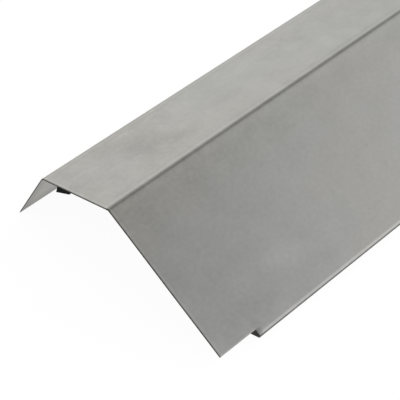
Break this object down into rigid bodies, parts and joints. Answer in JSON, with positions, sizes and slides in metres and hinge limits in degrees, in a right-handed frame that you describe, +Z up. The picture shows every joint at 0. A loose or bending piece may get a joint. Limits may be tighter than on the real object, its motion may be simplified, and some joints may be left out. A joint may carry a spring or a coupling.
{
  "type": "fascia cap",
  "caption": "Folded zinc sheet roof-edge cap with a back flange, sloping top, front panel with a folded hem, one lapped end and a foam sealing strip underneath.",
  "frame": {"origin": "on the floor, under the middle of the cap's bounding box, with the cap standing on the edge of its flange and the edge of its hem lip", "axes": "+Z up; Y along the length, with the lapped end at -Y; +X from the flange towards the front panel"},
  "size_m": [0.2566, 1.0026, 0.088],
  "materials": {
    "zinc_sheet": "matt blue-grey mill finish zinc, slightly cloudy, with darker bend lines",
    "sealing_foam": "matt black closed-cell foam"
  },
  "bodies": {
    "root": {"cap_sheet": "zinc_sheet", "seal_strip": "sealing_foam"}
  },
  "joints": []
}
